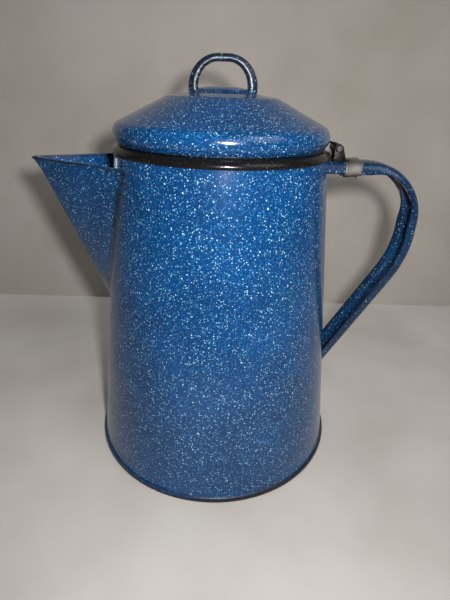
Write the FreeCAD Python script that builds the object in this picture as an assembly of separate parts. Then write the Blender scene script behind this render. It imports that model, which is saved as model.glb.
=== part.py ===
import FreeCAD, Part
import math
import os

Vector = FreeCAD.Vector
UP = Vector(0, 0, 1)
ALONG_X = Vector(1, 0, 0)
ALONG_Y = Vector(0, 1, 0)
ORIGIN = Vector(0, 0, 0)

# Camping percolator in enamelled sheet steel. Millimetres.
# Origin: centre of the flat underside, on the pot's own axis. +Z up, spout towards -X, handle towards +X.

# --- pot ---
RIM_HEIGHT = 168.3          # middle of the rolled rim above the table
BASE_RADIUS = 70.3          # outside of the wall, at the table
MOUTH_RADIUS = 52.2         # outside of the wall, at the middle of the rim
WALL = 0.9                  # enamelled sheet
BASE_THICKNESS = 1.0
RIM_ROLL_RADIUS = 2.0       # half the height of the rolled rim
RIM_ROLL_STAND = 1.35       # how far the roll stands out of the wall
SEAM_HEIGHT = 3.0
SEAM_STAND = 1.3            # how far the seam stands out of the wall
SEAM_EDGE_STAND = 0.5       # the same at the seam's lower and upper edges

# --- spout: an open V of folded sheet ---
SPOUT_REACH = 95.4          # tip from the pot's axis
SPOUT_DROP = 6.3            # edge of the spout below the middle of the rim
SPOUT_LENGTH = 78.5         # height from its lowest point to its edge
SPOUT_HALF_WIDTH = 30.5     # where its edge meets the wall
SPOUT_NOSE_RADIUS = 5.0
SPOUT_SHEET = 0.9
SPOUT_LIP_RADIUS = 0.8
SPOUT_ROUNDNESS = 0.55      # 0.5 is a round-bottomed join line, 1.0 a straight one
SPOUT_LEVELS = 6
SPOUT_CROWDING = 1.6        # how strongly the levels crowd towards the foot; 1.0 is even
SPOUT_NOSE_SHARE = 0.5      # most that the nose takes of a section's half width or length
SPOUT_INTO_WALL = 8.0       # trimmed off inside the pot
STRAINER_HOLE_RADIUS = 1.9
STRAINER_ROWS = (3, 4, 5, 6)   # holes in each row, from the lowest row up
STRAINER_PITCH = 6.5
STRAINER_BELOW_EDGE = 11.0  # top row below the spout's edge

# --- handle: a strap pressed to a channel, open towards the pot ---
HANDLE_DROP = 3.3           # its top face below the middle of the rim
HANDLE_REACH = 104.7        # its outermost face from the pot's axis
HANDLE_KNEE_DROP = 53.0     # where the upright and the sloping runs would cross, below the middle of the rim
HANDLE_FOOT_HEIGHT = 46.0   # where its outer face meets the wall
HANDLE_WIDTH = 16.0
HANDLE_DEPTH = 5.9
HANDLE_SHEET = 1.1
HANDLE_TOP_BEND = 30.0      # of its outer face
HANDLE_KNEE_BEND = 55.0
HANDLE_THROAT_BEND = 18.0   # of the flanges' edges under the top bend, where they narrow
HANDLE_INTO_WALL = 6.0      # run that is trimmed off at the wall

# --- lid ---
LID_SHEET = 0.9
LID_GAP = 0.3               # between the rim's top and the lid
LID_SETBACK = 0.8           # widest part of the lid inside the rim's outside
LID_BULGE_RISE = 4.6        # widest part above the lid's lower edge
LID_BULGE_TUCK = 2.4        # how far the lower edge is tucked in from the widest part
LID_BROW_TUCK = 2.9         # how far the top of the bulge is tucked in
LID_BROW_RISE = 9.3
LID_SHOULDER_RADIUS = 26.5
LID_SHOULDER_RISE = 20.9
LID_SHOULDER_ROUND = 2.6    # length of the rounding at the shoulder, along each side
LID_BOSS_RADIUS = 17.6
LID_BOSS_RISE = 22.5
LID_BOSS_STEP = 0.9
LID_CROWN_RISE = 25.7       # top of the boss above the lid's lower edge
COLLAR_CLEARANCE = 0.6      # between the collar and the rolled rim
COLLAR_SHEET = 0.8
COLLAR_DEPTH = 8.5          # below the lid's lower edge

# --- loop on the lid ---
LOOP_HALF_LENGTH = 16.3
LOOP_RISE = 39.0            # its top above the lid's lower edge
LOOP_LEG = 4.7              # depth of the strap at the legs
LOOP_CROWN = 3.1            # depth of the strap at the top
LOOP_WIDTH = 7.6
LOOP_SHEET = 1.1
LOOP_BEND = 12.0

# --- hinge ---
HINGE_OUT = 4.0             # pin from the rolled rim's outside
HINGE_RISE = 2.5            # pin above the middle of the rim
PIN_RADIUS = 1.0
PIN_HEAD_RADIUS = 1.7
PIN_HEAD = 0.8
PIN_CLEARANCE = 0.08
KNUCKLE_RADIUS = 2.2
LEAF_KNUCKLE_LENGTH = 5.0
EAR_LENGTH = 3.6
EAR_CLEARANCE = 0.3
LEAF_SHEET = 1.0
LEAF_WIDTH = 11.0
CLIP_SHEET = 0.7
CLIP_LENGTH = 9.0
CLIP_AFTER_PIN = 3.6        # start of the band beyond the pin
CLIP_FOLD_DROP = 3.0
CLIP_FOLD_WIDTH = 5.0

# --- pump and basket ---
INSERT_GAP = 0.3            # between the foot and the pot's floor
TUBE_RADIUS = 4.5
TUBE_WALL = 0.7
TUBE_TOP_CLEARANCE = 14.0   # below the inside of the lid's crown
FOOT_RADIUS = 30.0
FOOT_SHEET = 0.9
FOOT_SKIRT = 3.0
FOOT_RISE = 15.0            # height of the flare
FOOT_NOTCHES = 4            # inlets in the skirt
FOOT_NOTCH_RADIUS = 1.8
NECK_RADIUS = 9.0           # inside of the valve chamber
NECK_HEIGHT = 9.0
SEAT_THICKNESS = 0.8
SEAT_HOLE_RADIUS = 3.0
VALVE_RADIUS = 6.0
VALVE_THICKNESS = 0.8
SLIDING_GAP = 0.3           # between pieces that slide or rest on each other
STOP_RADIUS = 8.0
STOP_HEIGHT = 3.0
BASKET_RADIUS = 38.5
BASKET_TOP_RADIUS = 40.5
BASKET_HEIGHT = 42.0
BASKET_SHEET = 0.8
BASKET_BELOW_RIM = 63.0     # its underside below the middle of the rim
BASKET_LIP = 1.4
BASKET_COLLAR_HEIGHT = 22.0 # sleeve round the tube, above the underside
BASKET_HOLE_RADIUS = 1.3
BASKET_HOLE_RINGS = ((14.0, 10), (20.5, 16), (27.0, 22), (33.5, 28))
COVER_SHEET = 0.8
COVER_RIM = 3.2             # height of its turned-up rim
COVER_HOLE_RADIUS = 1.2
COVER_HOLE_RINGS = ((12.5, 10), (19.0, 16), (25.5, 22), (32.0, 28))
COVER_COLLAR_HEIGHT = 5.0

# --- worked out from the above ---
TAPER = (BASE_RADIUS - MOUTH_RADIUS) / RIM_HEIGHT
ROLL_CENTRE = MOUTH_RADIUS + RIM_ROLL_STAND - RIM_ROLL_RADIUS
ROLL_OUTSIDE = MOUTH_RADIUS + RIM_ROLL_STAND
MOUTH_INSIDE = ROLL_CENTRE - RIM_ROLL_RADIUS
SPOUT_EDGE = RIM_HEIGHT - SPOUT_DROP
SPOUT_FOOT = SPOUT_EDGE - SPOUT_LENGTH
LID_EDGE = RIM_HEIGHT + RIM_ROLL_RADIUS + LID_GAP
LID_RADIUS = ROLL_OUTSIDE - LID_SETBACK
COLLAR_RADIUS = MOUTH_INSIDE - COLLAR_CLEARANCE
PIN_X = ROLL_OUTSIDE + HINGE_OUT
PIN_Z = RIM_HEIGHT + HINGE_RISE
HANDLE_TOP = RIM_HEIGHT - HANDLE_DROP
FOOT_BOTTOM = BASE_THICKNESS + INSERT_GAP
NECK_BOTTOM = FOOT_BOTTOM + FOOT_SKIRT + FOOT_RISE
NECK_TOP = NECK_BOTTOM + NECK_HEIGHT
TUBE_TOP = LID_EDGE + LID_CROWN_RISE - LID_SHEET - TUBE_TOP_CLEARANCE
BASKET_BOTTOM = RIM_HEIGHT - BASKET_BELOW_RIM
BASKET_TOP = BASKET_BOTTOM + BASKET_HEIGHT


def wall_radius(height):
    """Outside radius of the pot's wall at a height."""
    return BASE_RADIUS - TAPER * height


def point(x, z, y=0.0):
    return Vector(x, y, z)


def outline(start, *steps):
    """Wire in the XZ plane. A step is (x, z) for a straight run, two such pairs for an arc (middle, end)."""
    edges = []
    here = point(*start)
    for step in steps:
        if isinstance(step[0], tuple):
            there = point(*step[1])
            edges.append(Part.Arc(here, point(*step[0]), there).toShape())
        else:
            there = point(*step)
            edges.append(Part.LineSegment(here, there).toShape())
        here = there
    return Part.Wire(edges)


def turned(wire):
    """Solid of revolution about the pot's axis, from a closed wire or a face."""
    face = wire if isinstance(wire, Part.Face) else Part.Face(wire)
    return face.revolve(ORIGIN, UP, 360)


def slab(wire, width, middle=0.0):
    """Plate of a closed XZ outline, across Y."""
    face = Part.Face(wire)
    face.translate(Vector(0, middle - width / 2, 0))
    return face.extrude(Vector(0, width, 0))


def rod(radius, length, middle_x, middle_z, middle_y=0.0):
    """Round bar along Y."""
    return Part.makeCylinder(radius, length, Vector(middle_x, middle_y - length / 2, middle_z), ALONG_Y)


def ring(inside, outside, low, high):
    """Plain ring about the pot's axis."""
    wire = outline((inside, low), (outside, low), (outside, high), (inside, high), (inside, low))
    return turned(wire)


def export(node, shape):
    """Write one node and stop if it is not one sound solid."""
    if len(shape.Solids) != 1 or not shape.isValid():
        raise ValueError("%s has %d solids, valid %s" % (node, len(shape.Solids), shape.isValid()))
    shape.Solids[0].exportStep("parts/%s.step" % node)


def bent_path(corners, bends, inset):
    """Edges along straight runs, moved towards the inside of the turns by an inset and joined by arcs."""
    runs = []
    for here, there in zip(corners, corners[1:]):
        length = math.hypot(there[0] - here[0], there[1] - here[1])
        along = ((there[0] - here[0]) / length, (there[1] - here[1]) / length)
        side = (along[1], -along[0])
        moved = (here[0] + side[0] * inset, here[1] + side[1] * inset)
        end = (there[0] + side[0] * inset, there[1] + side[1] * inset)
        runs.append((moved, end, along))
    edges = []
    here = runs[0][0]
    for run, following, bend in zip(runs, runs[1:], bends):
        first, first_along = run[0], run[2]
        second, second_along = following[0], following[2]
        cross = first_along[0] * second_along[1] - first_along[1] * second_along[0]
        gap = (second[0] - first[0], second[1] - first[1])
        travel = (gap[0] * second_along[1] - gap[1] * second_along[0]) / cross
        corner = (first[0] + first_along[0] * travel, first[1] + first_along[1] * travel)
        turn = math.acos(first_along[0] * second_along[0] + first_along[1] * second_along[1])
        reach = bend * math.tan(turn / 2)
        enter = (corner[0] - first_along[0] * reach, corner[1] - first_along[1] * reach)
        leave = (corner[0] + second_along[0] * reach, corner[1] + second_along[1] * reach)
        inward = (second_along[0] - first_along[0], second_along[1] - first_along[1])
        inward_length = math.hypot(*inward)
        rise = bend / math.cos(turn / 2) - bend
        middle = (corner[0] + inward[0] / inward_length * rise, corner[1] + inward[1] / inward_length * rise)
        edges.append(Part.LineSegment(point(*here), point(*enter)).toShape())
        edges.append(Part.Arc(point(*enter), point(*middle), point(*leave)).toShape())
        here = leave
    edges.append(Part.LineSegment(point(*here), point(*runs[-1][1])).toShape())
    return edges


def strap_outline(corners, near, near_bends, far, far_bends):
    """Closed outline between two insets of one bent path."""
    outer = bent_path(corners, near_bends, near)
    inner = bent_path(corners, far_bends, far)
    start = Part.LineSegment(outer[0].Vertexes[0].Point, inner[0].Vertexes[0].Point).toShape()
    end = Part.LineSegment(outer[-1].Vertexes[-1].Point, inner[-1].Vertexes[-1].Point).toShape()
    return Part.Wire(Part.__sortEdges__(outer + inner + [start, end]))


def pot_envelope():
    """Everything inside the outside of the wall, for trimming what is welded to it."""
    wire = outline((0, 0), (BASE_RADIUS, 0), (MOUTH_RADIUS, RIM_HEIGHT), (0, RIM_HEIGHT), (0, 0))
    return turned(wire)


def strainer_holes():
    """Drills along X through the wall behind the spout, in rows that narrow downwards."""
    drills = []
    for row, count in enumerate(reversed(STRAINER_ROWS)):
        height = SPOUT_EDGE - STRAINER_BELOW_EDGE - row * STRAINER_PITCH
        for place in range(count):
            across = (place - (count - 1) / 2) * STRAINER_PITCH
            start = Vector(-wall_radius(height) - WALL * 2, across, height)
            drill = Part.makeCylinder(STRAINER_HOLE_RADIUS, wall_radius(height) / 2, start, ALONG_X)
            drills.append(drill)
    return drills


def pot_body():
    low = BASE_THICKNESS
    wire = outline(
        (wall_radius(low), low),
        (MOUTH_RADIUS, RIM_HEIGHT),
        (MOUTH_RADIUS - WALL, RIM_HEIGHT),
        (wall_radius(low) - WALL, low),
        (wall_radius(low), low),
    )
    return turned(wire)


def rim_roll():
    circle = Part.Wire(Part.makeCircle(RIM_ROLL_RADIUS, point(ROLL_CENTRE, RIM_HEIGHT), ALONG_Y))
    return turned(circle)


def base_seam():
    top = wall_radius(SEAM_HEIGHT)
    wire = outline(
        (BASE_RADIUS, 0),
        (BASE_RADIUS + SEAM_EDGE_STAND, 0),
        ((BASE_RADIUS + SEAM_STAND, SEAM_HEIGHT / 2), (top + SEAM_EDGE_STAND, SEAM_HEIGHT)),
        (top, SEAM_HEIGHT),
        (wall_radius(BASE_THICKNESS), BASE_THICKNESS),
        (BASE_RADIUS, BASE_THICKNESS),
        (BASE_RADIUS, 0),
    )
    return turned(wire)


def spout_section(height, shrink):
    """Level section of the spout: a rounded nose, two flanks and a back inside the pot."""
    share = (height - SPOUT_FOOT) / SPOUT_LENGTH
    foot_reach = wall_radius(SPOUT_FOOT)
    tip = foot_reach + (SPOUT_REACH - foot_reach) * share - shrink
    half = SPOUT_HALF_WIDTH * share ** SPOUT_ROUNDNESS - shrink
    root = math.sqrt(wall_radius(height) ** 2 - half ** 2) - WALL / 2
    back = root - SPOUT_INTO_WALL
    nose = min(SPOUT_NOSE_RADIUS, half * SPOUT_NOSE_SHARE, (tip - root) * SPOUT_NOSE_SHARE)
    centre = tip - nose
    bearing = math.atan2(half, root - centre)
    touch = bearing - math.acos(nose / math.hypot(root - centre, half))
    ahead = centre + nose * math.cos(touch)
    across = nose * math.sin(touch)
    corners = [Vector(-ahead, -across, height)]
    corners.append(Vector(-root, -half, height))
    corners.append(Vector(-back, -half, height))
    corners.append(Vector(-back, half, height))
    corners.append(Vector(-root, half, height))
    corners.append(Vector(-ahead, across, height))
    edges = [Part.LineSegment(here, there).toShape() for here, there in zip(corners, corners[1:])]
    edges.append(Part.Arc(corners[-1], Vector(-tip, 0, height), corners[0]).toShape())
    return Part.Wire(edges)


def spout_loft(low, high, shrink):
    """Body of the spout between two heights, through sections that crowd towards its foot."""
    sections = []
    for level in range(SPOUT_LEVELS):
        share = (level / (SPOUT_LEVELS - 1)) ** SPOUT_CROWDING
        sections.append(spout_section(low + (high - low) * share, shrink))
    return Part.makeLoft(sections, True, False)


def spout_lip():
    """Round bead along the spout's upper edge, trimmed at the wall."""
    section = spout_section(SPOUT_EDGE, SPOUT_SHEET / 2)
    edges = section.Edges
    path = Part.Wire(Part.__sortEdges__([edges[0], edges[-1], edges[-2]]))
    start = path.OrderedVertexes[0].Point
    heading = path.OrderedEdges[0].tangentAt(path.OrderedEdges[0].FirstParameter)
    circle = Part.Wire(Part.makeCircle(SPOUT_LIP_RADIUS, start, heading))
    bead = path.makePipeShell([circle], True, True)
    return bead.cut(pot_envelope())


def spout():
    outside = spout_loft(SPOUT_FOOT + SPOUT_SHEET, SPOUT_EDGE, 0.0)
    inside = spout_loft(SPOUT_FOOT + SPOUT_SHEET * 3, SPOUT_EDGE + SPOUT_SHEET, SPOUT_SHEET)
    return outside.cut(inside).cut(pot_envelope()).cut(spout_lip())


def handle_corners():
    """Outer face of the strap: out from the wall, down, and back in to the wall."""
    knee = RIM_HEIGHT - HANDLE_KNEE_DROP
    foot = wall_radius(HANDLE_FOOT_HEIGHT)
    run = math.hypot(HANDLE_REACH - foot, knee - HANDLE_FOOT_HEIGHT)
    over = 1 + HANDLE_INTO_WALL / run
    return [
        (wall_radius(HANDLE_TOP) - HANDLE_INTO_WALL, HANDLE_TOP),
        (HANDLE_REACH, HANDLE_TOP),
        (HANDLE_REACH, knee),
        (HANDLE_REACH + (foot - HANDLE_REACH) * over, knee + (HANDLE_FOOT_HEIGHT - knee) * over),
    ]


def handle():
    corners = handle_corners()
    back = (HANDLE_TOP_BEND, HANDLE_KNEE_BEND)
    under = (HANDLE_TOP_BEND - HANDLE_SHEET, HANDLE_KNEE_BEND - HANDLE_SHEET)
    edge = (HANDLE_THROAT_BEND, HANDLE_KNEE_BEND - HANDLE_DEPTH)
    strap = slab(strap_outline(corners, 0, back, HANDLE_DEPTH, edge), HANDLE_WIDTH)
    hollow_width = HANDLE_WIDTH - 2 * HANDLE_SHEET
    hollow = slab(strap_outline(corners, HANDLE_SHEET, under, HANDLE_DEPTH + 1, edge), hollow_width)
    channel = strap.cut(hollow).cut(pot_envelope())
    return max(channel.Solids, key=lambda solid: solid.Volume)


def lid_skin():
    """Outside of the lid, from its lower edge over the bulge, shoulder and boss to the axis."""
    edge = (LID_RADIUS - LID_BULGE_TUCK, LID_EDGE)
    widest = (LID_RADIUS, LID_EDGE + LID_BULGE_RISE)
    brow = (LID_RADIUS - LID_BROW_TUCK, LID_EDGE + LID_BROW_RISE)
    shoulder = (LID_SHOULDER_RADIUS, LID_EDGE + LID_SHOULDER_RISE)
    boss = (LID_BOSS_RADIUS, LID_EDGE + LID_BOSS_RISE)
    slope = math.hypot(brow[0] - shoulder[0], brow[1] - shoulder[1])
    terrace = math.hypot(shoulder[0] - boss[0], shoulder[1] - boss[1])
    before = (
        shoulder[0] + (brow[0] - shoulder[0]) / slope * LID_SHOULDER_ROUND,
        shoulder[1] + (brow[1] - shoulder[1]) / slope * LID_SHOULDER_ROUND,
    )
    after = (
        shoulder[0] + (boss[0] - shoulder[0]) / terrace * LID_SHOULDER_ROUND,
        shoulder[1] + (boss[1] - shoulder[1]) / terrace * LID_SHOULDER_ROUND,
    )
    middle = ((before[0] + after[0] + shoulder[0] * 2) / 4, (before[1] + after[1] + shoulder[1] * 2) / 4)
    step = (LID_BOSS_RADIUS - LID_BOSS_STEP, boss[1] + LID_BOSS_STEP)
    crown = LID_EDGE + LID_CROWN_RISE
    dome_radius = (step[0] ** 2 + (crown - step[1]) ** 2) / (2 * (crown - step[1]))
    halfway = step[0] / 2
    haunch = crown - dome_radius + math.sqrt(dome_radius ** 2 - halfway ** 2)
    return edge, (widest, brow), before, (middle, after), boss, step, ((halfway, haunch), (0, crown))


def lid_shell():
    edge, *steps = lid_skin()
    skin = outline(edge, *steps)
    return turned(skin.makeOffset2D(LID_SHEET, 2, True, True))


def lid_envelope():
    """Everything under the outside of the lid, for trimming what is welded to it."""
    edge, *steps = lid_skin()
    return turned(outline(edge, *steps, (0, LID_EDGE), edge))


def lid_collar():
    flange = LID_RADIUS - LID_BULGE_TUCK
    wire = outline(
        (COLLAR_RADIUS - COLLAR_SHEET, LID_EDGE - COLLAR_DEPTH),
        (COLLAR_RADIUS, LID_EDGE - COLLAR_DEPTH),
        (COLLAR_RADIUS, LID_EDGE),
        (flange, LID_EDGE),
        (flange, LID_EDGE + COLLAR_SHEET),
        (COLLAR_RADIUS - COLLAR_SHEET, LID_EDGE + COLLAR_SHEET),
        (COLLAR_RADIUS - COLLAR_SHEET, LID_EDGE - COLLAR_DEPTH),
    )
    collar = turned(wire).cut(lid_shell())
    return max(collar.Solids, key=lambda solid: solid.Volume)


def arch(half_length, top, bend, width):
    """Solid arch that stands in the lid, across Y."""
    foot = LID_EDGE + LID_BOSS_RISE - LOOP_SHEET
    corner = bend * (1 - math.sqrt(0.5))
    wire = outline(
        (-half_length, foot),
        (-half_length, top - bend),
        ((corner - half_length, top - corner), (bend - half_length, top)),
        (half_length - bend, top),
        ((half_length - corner, top - corner), (half_length, top - bend)),
        (half_length, foot),
        (-half_length, foot),
    )
    return slab(wire, width)


def lid_loop():
    top = LID_EDGE + LOOP_RISE
    strap = arch(LOOP_HALF_LENGTH, top, LOOP_BEND, LOOP_WIDTH)
    opening = arch(LOOP_HALF_LENGTH - LOOP_LEG, top - LOOP_CROWN, LOOP_BEND - LOOP_LEG, LOOP_WIDTH + 2)
    hollow_width = LOOP_WIDTH - 2 * LOOP_SHEET
    hollow = arch(LOOP_HALF_LENGTH - LOOP_SHEET, top - LOOP_SHEET, LOOP_BEND - LOOP_SHEET, hollow_width)
    return strap.cut(opening).cut(hollow).cut(lid_envelope())


def hinge_leaf():
    """Tapered leaf from the lid's bulge to its knuckle on the pin."""
    top = PIN_Z + KNUCKLE_RADIUS
    root = LID_RADIUS - LID_BULGE_TUCK
    rise = LID_EDGE + LID_BULGE_RISE
    side = outline(
        (root, rise),
        (PIN_X, top),
        (PIN_X, top - LEAF_SHEET),
        (root, rise - LEAF_SHEET),
        (root, rise),
    )
    narrow = LEAF_KNUCKLE_LENGTH / 2
    wide = LEAF_WIDTH / 2
    neck = PIN_X - KNUCKLE_RADIUS - EAR_CLEARANCE
    corners = [
        Vector(root, -wide, rise - 2 * LID_BULGE_RISE),
        Vector(ROLL_OUTSIDE, -wide, rise - 2 * LID_BULGE_RISE),
        Vector(neck, -narrow, rise - 2 * LID_BULGE_RISE),
        Vector(PIN_X, -narrow, rise - 2 * LID_BULGE_RISE),
        Vector(PIN_X, narrow, rise - 2 * LID_BULGE_RISE),
        Vector(neck, narrow, rise - 2 * LID_BULGE_RISE),
        Vector(ROLL_OUTSIDE, wide, rise - 2 * LID_BULGE_RISE),
        Vector(root, wide, rise - 2 * LID_BULGE_RISE),
    ]
    plan = Part.Face(Part.makePolygon(corners + [corners[0]])).extrude(Vector(0, 0, 4 * LID_BULGE_RISE))
    leaf = slab(side, LEAF_WIDTH).common(plan).fuse(rod(KNUCKLE_RADIUS, LEAF_KNUCKLE_LENGTH, PIN_X, PIN_Z))
    bore = rod(PIN_RADIUS + PIN_CLEARANCE, LEAF_KNUCKLE_LENGTH + 2, PIN_X, PIN_Z)
    return leaf.cut(bore).cut(lid_envelope()).removeSplitter()


def hinge_clip():
    """Band round the handle's top run, its folded ends below, and two ears on the pin."""
    start = PIN_X + CLIP_AFTER_PIN
    low = HANDLE_TOP - HANDLE_DEPTH
    band = Part.makeBox(
        CLIP_LENGTH,
        HANDLE_WIDTH + 2 * CLIP_SHEET,
        HANDLE_DEPTH + 2 * CLIP_SHEET,
        Vector(start, -HANDLE_WIDTH / 2 - CLIP_SHEET, low - CLIP_SHEET),
    )
    corner = Vector(start - 1, -HANDLE_WIDTH / 2, low)
    through = Part.makeBox(CLIP_LENGTH + 2, HANDLE_WIDTH, HANDLE_DEPTH, corner)
    fold = Part.makeBox(
        CLIP_LENGTH - 2 * CLIP_SHEET,
        2 * CLIP_SHEET,
        CLIP_FOLD_DROP + CLIP_SHEET / 2,
        Vector(start + CLIP_SHEET, -CLIP_FOLD_WIDTH / 2, low - CLIP_SHEET - CLIP_FOLD_DROP),
    )
    clip = band.cut(through).fuse(fold)
    back = PIN_X + KNUCKLE_RADIUS
    front = PIN_X - KNUCKLE_RADIUS
    arm = outline(
        (start, HANDLE_TOP),
        (start + 2 * CLIP_SHEET, HANDLE_TOP + CLIP_SHEET),
        (back, PIN_Z),
        (back - CLIP_SHEET, PIN_Z - CLIP_SHEET),
        (start, HANDLE_TOP),
    )
    web = outline(
        (start, HANDLE_TOP),
        (back, PIN_Z),
        (front, PIN_Z),
        (front, HANDLE_TOP),
        (start, HANDLE_TOP),
    )
    inner_end = LEAF_KNUCKLE_LENGTH / 2 + EAR_CLEARANCE
    outer_end = inner_end + EAR_LENGTH
    for side in (-1, 1):
        middle = side * (inner_end + outer_end) / 2
        ear = slab(arm, EAR_LENGTH, middle).fuse(rod(KNUCKLE_RADIUS, EAR_LENGTH, PIN_X, PIN_Z, middle))
        clip = clip.fuse(ear).fuse(slab(web, CLIP_SHEET, side * (outer_end - CLIP_SHEET / 2)))
    span = 2 * outer_end + 1
    return clip.cut(rod(PIN_RADIUS, span, PIN_X, PIN_Z)).removeSplitter()


def hinge_pin():
    span = LEAF_KNUCKLE_LENGTH + 2 * (EAR_CLEARANCE + EAR_LENGTH)
    pin = rod(PIN_RADIUS, span, PIN_X, PIN_Z)
    for side in (-1, 1):
        head = rod(PIN_HEAD_RADIUS, PIN_HEAD, PIN_X, PIN_Z, side * (span + PIN_HEAD) / 2)
        pin = pin.fuse(head)
    return pin.removeSplitter()


def pump_foot():
    skirt = FOOT_BOTTOM + FOOT_SKIRT
    wire = outline(
        (FOOT_RADIUS - FOOT_SHEET, FOOT_BOTTOM),
        (FOOT_RADIUS, FOOT_BOTTOM),
        (FOOT_RADIUS, skirt),
        (NECK_RADIUS + FOOT_SHEET, NECK_BOTTOM),
        (NECK_RADIUS + FOOT_SHEET, NECK_TOP),
        (TUBE_RADIUS, NECK_TOP),
        (TUBE_RADIUS, NECK_TOP - FOOT_SHEET),
        (NECK_RADIUS, NECK_TOP - FOOT_SHEET),
        (NECK_RADIUS, NECK_BOTTOM - FOOT_SHEET / 2),
        (FOOT_RADIUS - FOOT_SHEET, skirt - FOOT_SHEET / 2),
        (FOOT_RADIUS - FOOT_SHEET, FOOT_BOTTOM),
    )
    bell = turned(wire)
    for place in range(FOOT_NOTCHES):
        notch = rod(FOOT_NOTCH_RADIUS, FOOT_RADIUS, FOOT_RADIUS, FOOT_BOTTOM)
        notch.rotate(Vector(FOOT_RADIUS, 0, FOOT_BOTTOM), UP, 90)
        notch.rotate(ORIGIN, UP, 360 * (place + 0.5) / FOOT_NOTCHES)
        bell = bell.cut(notch)
    return bell


def valve_seat():
    low = NECK_BOTTOM
    return ring(SEAT_HOLE_RADIUS, NECK_RADIUS, low, low + SEAT_THICKNESS)


def valve_disc():
    low = NECK_BOTTOM + SEAT_THICKNESS + SLIDING_GAP
    return Part.makeCylinder(VALVE_RADIUS, VALVE_THICKNESS, Vector(0, 0, low))


def pump_tube():
    return ring(TUBE_RADIUS - TUBE_WALL, TUBE_RADIUS, NECK_TOP - FOOT_SHEET, TUBE_TOP)


def basket_stop():
    top = BASKET_BOTTOM - SLIDING_GAP
    return ring(TUBE_RADIUS, STOP_RADIUS, top - STOP_HEIGHT, top)


def perforated(shape, rings, hole_radius, low, thickness):
    """The shape with rings of round holes drilled up through it."""
    drills = []
    for radius, count in rings:
        for place in range(count):
            angle = 2 * math.pi * place / count
            start = Vector(radius * math.cos(angle), radius * math.sin(angle), low - thickness)
            drills.append(Part.makeCylinder(hole_radius, 3 * thickness, start))
    return shape.cut(Part.makeCompound(drills))


def basket():
    bore = TUBE_RADIUS + SLIDING_GAP
    wire = outline(
        (bore, BASKET_BOTTOM),
        (BASKET_RADIUS, BASKET_BOTTOM),
        (BASKET_TOP_RADIUS, BASKET_TOP - BASKET_SHEET),
        (BASKET_TOP_RADIUS + BASKET_LIP, BASKET_TOP - BASKET_SHEET),
        (BASKET_TOP_RADIUS + BASKET_LIP, BASKET_TOP),
        (BASKET_TOP_RADIUS - BASKET_SHEET, BASKET_TOP),
        (BASKET_RADIUS - BASKET_SHEET, BASKET_BOTTOM + BASKET_SHEET),
        (bore + BASKET_SHEET, BASKET_BOTTOM + BASKET_SHEET),
        (bore + BASKET_SHEET, BASKET_BOTTOM + BASKET_COLLAR_HEIGHT),
        (bore, BASKET_BOTTOM + BASKET_COLLAR_HEIGHT),
        (bore, BASKET_BOTTOM),
    )
    return perforated(turned(wire), BASKET_HOLE_RINGS, BASKET_HOLE_RADIUS, BASKET_BOTTOM, BASKET_SHEET)


def basket_cover():
    low = BASKET_TOP + SLIDING_GAP
    bore = TUBE_RADIUS + SLIDING_GAP
    wire = outline(
        (bore, low),
        (BASKET_TOP_RADIUS, low),
        (BASKET_TOP_RADIUS, low + COVER_RIM),
        (BASKET_TOP_RADIUS - COVER_SHEET, low + COVER_RIM),
        (BASKET_TOP_RADIUS - COVER_SHEET, low + COVER_SHEET),
        (bore + COVER_SHEET, low + COVER_SHEET),
        (bore + COVER_SHEET, low + COVER_COLLAR_HEIGHT),
        (bore, low + COVER_COLLAR_HEIGHT),
        (bore, low),
    )
    return perforated(turned(wire), COVER_HOLE_RINGS, COVER_HOLE_RADIUS, low, COVER_SHEET)


def main():
    os.makedirs("parts", exist_ok=True)
    wall = pot_body()
    export("pot_body", wall.cut(Part.makeCompound(strainer_holes())))
    export("rim_roll", rim_roll().cut(wall))
    export("pot_base", Part.makeCylinder(BASE_RADIUS, BASE_THICKNESS))
    export("base_seam", base_seam())
    export("spout", spout())
    export("spout_lip", spout_lip())
    export("handle", handle())
    export("hinge_clip", hinge_clip())
    export("hinge_pin", hinge_pin())
    export("lid_shell", lid_shell())
    export("lid_collar", lid_collar())
    export("lid_loop", lid_loop())
    export("hinge_leaf", hinge_leaf())
    export("pump_tube", pump_tube())
    export("pump_foot", pump_foot())
    export("valve_seat", valve_seat())
    export("valve_disc", valve_disc())
    export("basket_stop", basket_stop())
    export("basket", basket())
    export("basket_cover", basket_cover())


main()
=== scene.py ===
import math

import bmesh
import bpy
from mathutils import Matrix, Vector


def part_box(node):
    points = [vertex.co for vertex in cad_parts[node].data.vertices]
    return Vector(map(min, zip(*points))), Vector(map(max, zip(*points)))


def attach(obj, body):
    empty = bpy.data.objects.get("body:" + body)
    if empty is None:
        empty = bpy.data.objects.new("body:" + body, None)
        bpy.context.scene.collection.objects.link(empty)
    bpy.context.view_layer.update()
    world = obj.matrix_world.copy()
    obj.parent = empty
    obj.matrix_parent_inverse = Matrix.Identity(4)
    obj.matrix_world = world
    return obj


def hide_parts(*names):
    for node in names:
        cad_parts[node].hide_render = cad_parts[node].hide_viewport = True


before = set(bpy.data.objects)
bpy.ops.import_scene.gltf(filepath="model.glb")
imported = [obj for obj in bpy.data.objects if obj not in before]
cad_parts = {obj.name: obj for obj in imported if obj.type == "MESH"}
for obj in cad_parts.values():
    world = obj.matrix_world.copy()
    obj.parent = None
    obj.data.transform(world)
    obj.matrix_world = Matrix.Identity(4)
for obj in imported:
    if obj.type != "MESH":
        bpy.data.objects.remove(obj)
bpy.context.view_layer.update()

MM = 0.001
SAME_PLACE = MM / 500
EASED_ABOVE = math.radians(50)
SMOOTH_BELOW = math.radians(38)

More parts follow.
